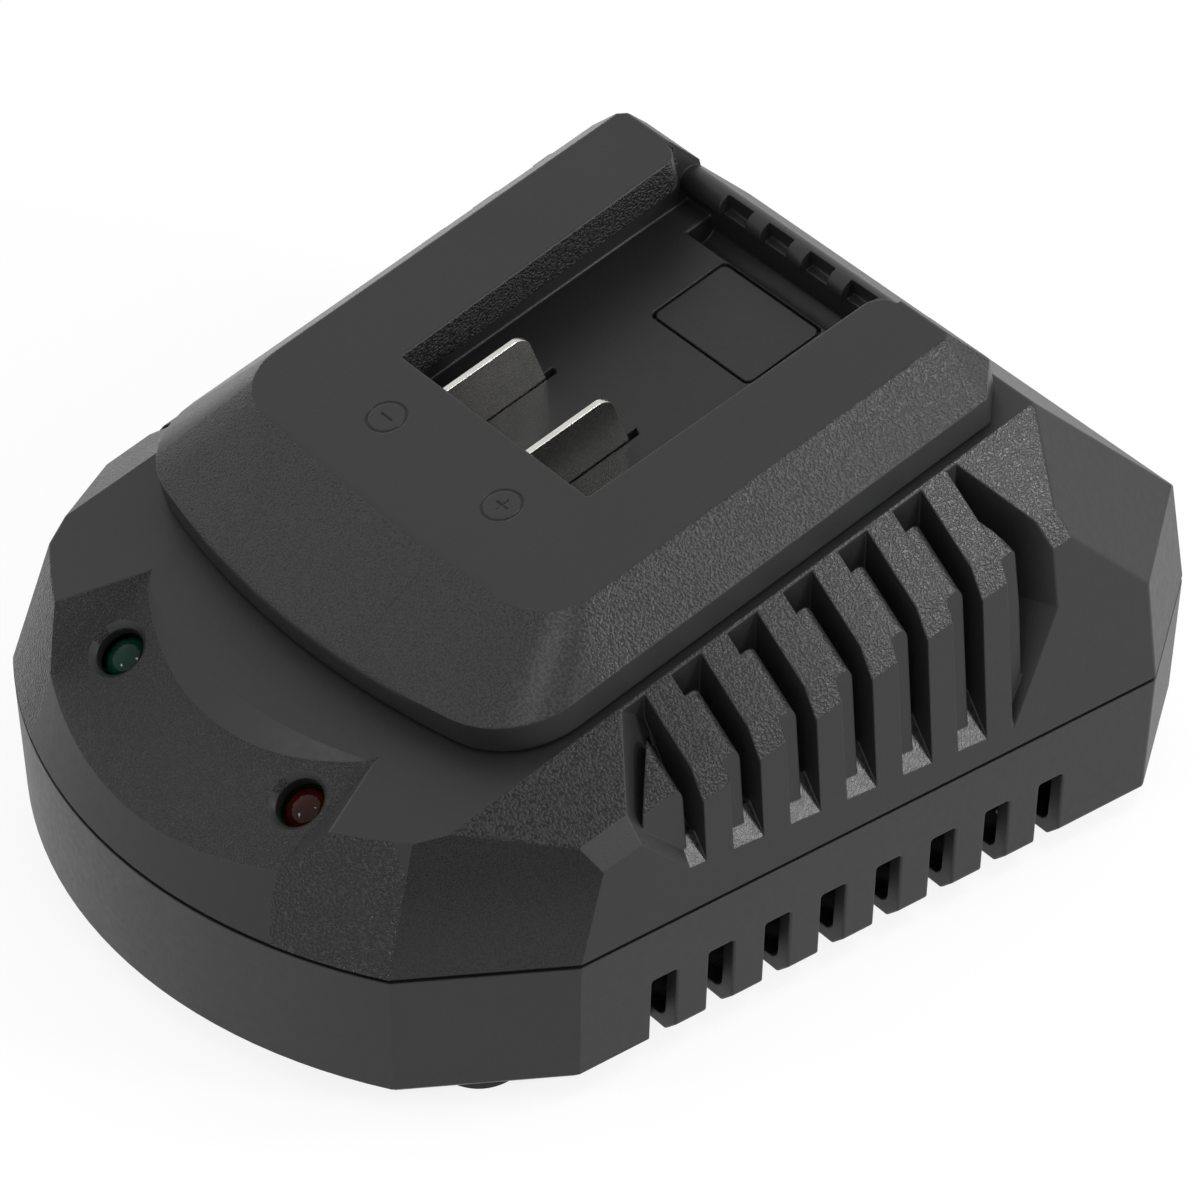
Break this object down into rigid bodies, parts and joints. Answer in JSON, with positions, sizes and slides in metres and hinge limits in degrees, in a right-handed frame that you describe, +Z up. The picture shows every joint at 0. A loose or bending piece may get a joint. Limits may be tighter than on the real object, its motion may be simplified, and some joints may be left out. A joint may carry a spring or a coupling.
{
  "type": "power tool battery charger",
  "caption": "Desktop charger with a D-shaped housing, a tilted slide-on battery dock with contact blades, a sloping lamp panel and ribbed cooling grilles.",
  "frame": {"origin": "middle of the bounding box in plan, on the plane the feet stand on", "axes": "+X right seen from the front, +Y towards the rear, +Z up"},
  "size_m": [0.112, 0.141, 0.0713],
  "materials": {
    "housing_upper": "fine satin grain with coarse leather grain on the slopes",
    "housing_lower": "fine satin grain",
    "housing_dock": "fine satin grain with coarse leather grain on the bevels",
    "housing_insert": "fine satin grain",
    "dark_plastic": "moulded satin",
    "blade_metal": "nickel plated",
    "green_lens": "tinted clear",
    "red_lens": "tinted clear",
    "board_green": "solder resist",
    "ferrite": "sintered",
    "copper_wire": "enamelled wire",
    "capacitor_sleeve": "shrink sleeve",
    "bare_aluminium": "extruded",
    "fuse_glass": "glass tube with plated caps",
    "foot_rubber": "matt",
    "screw_steel": "zinc plated"
  },
  "bodies": {
    "root": {"lower_shell": "housing_lower", "upper_shell": "housing_upper", "dock_cover": "housing_dock", "channel_insert": "housing_insert", "negative_blade": "blade_metal", "positive_blade": "blade_metal", "terminal_block": "dark_plastic", "green_lamp": "green_lens", "red_lamp": "red_lens", "lamp_board": "board_green", "main_board": "board_green", "transformer_core": "ferrite", "transformer_coil": "copper_wire", "mains_capacitor": "capacitor_sleeve", "output_capacitor": "capacitor_sleeve", "heat_sink": "bare_aluminium", "power_transistor": "dark_plastic", "bridge_rectifier": "dark_plastic", "fuse": "fuse_glass", "choke_coil": "copper_wire", "mains_inlet": "dark_plastic", "inlet_pins": "blade_metal", "rubber_feet": "foot_rubber", "housing_screws": "screw_steel", "board_screws": "screw_steel", "dock_screws": "screw_steel"}
  },
  "joints": []
}
